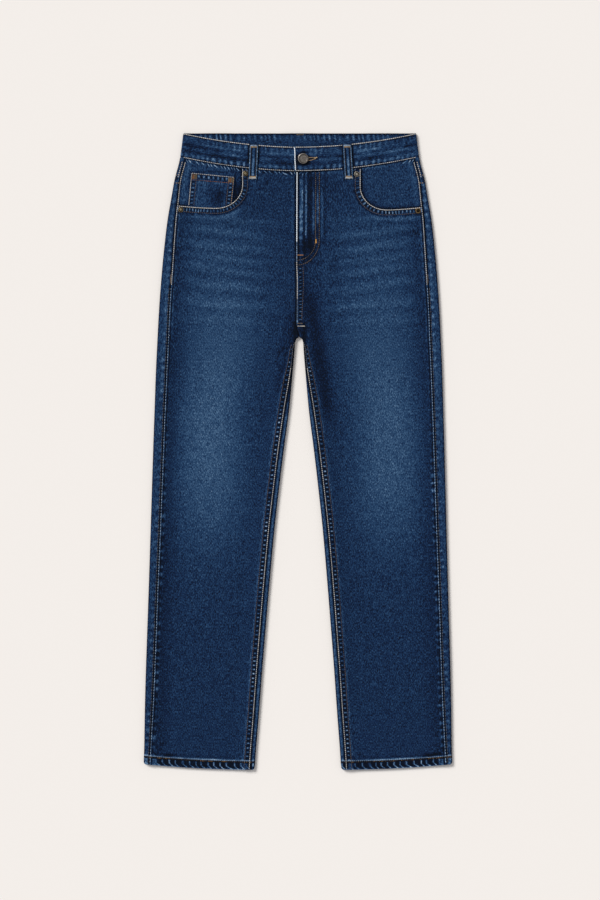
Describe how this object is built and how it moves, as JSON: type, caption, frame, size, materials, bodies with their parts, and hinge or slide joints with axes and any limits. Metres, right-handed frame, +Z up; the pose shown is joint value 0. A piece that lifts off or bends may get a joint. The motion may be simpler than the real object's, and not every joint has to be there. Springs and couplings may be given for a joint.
{
  "type": "straight leg jeans",
  "caption": "Straight leg denim jeans laid flat on their back, with patch and coin pockets, belt loops, a buttoned waistband and turned-up hems.",
  "frame": {"origin": "middle of the underside's bounding box, on the surface that the garment lies on", "axes": "+Z up from the surface, +Y towards the waist, +X towards the wearer's left leg"},
  "size_m": [0.4991, 1.03, 0.0108],
  "materials": {
    "denim": "mid indigo twill, washed, faded on the thighs",
    "zip_tape": "navy woven tape",
    "button_metal": "antique nickel plate, satin",
    "rivet_metal": "antique brass, satin"
  },
  "bodies": {
    "root": {"front_panel_right": "denim", "front_panel_left": "denim", "back_panel_right": "denim", "back_panel_left": "denim", "yoke_right": "denim", "yoke_left": "denim", "pocket_facing_right": "denim", "pocket_facing_left": "denim", "coin_pocket": "denim", "fly_facing": "denim", "zip": "zip_tape", "waistband": "denim", "belt_loop_front_right": "denim", "belt_loop_front_left": "denim", "belt_loop_back_right": "denim", "belt_loop_back_left": "denim", "belt_loop_centre_back": "denim", "back_pocket_right": "denim", "back_pocket_left": "denim", "button": "button_metal", "rivet_right_inner": "rivet_metal", "rivet_right_outer": "rivet_metal", "rivet_left_inner": "rivet_metal", "rivet_left_outer": "rivet_metal"}
  },
  "joints": []
}
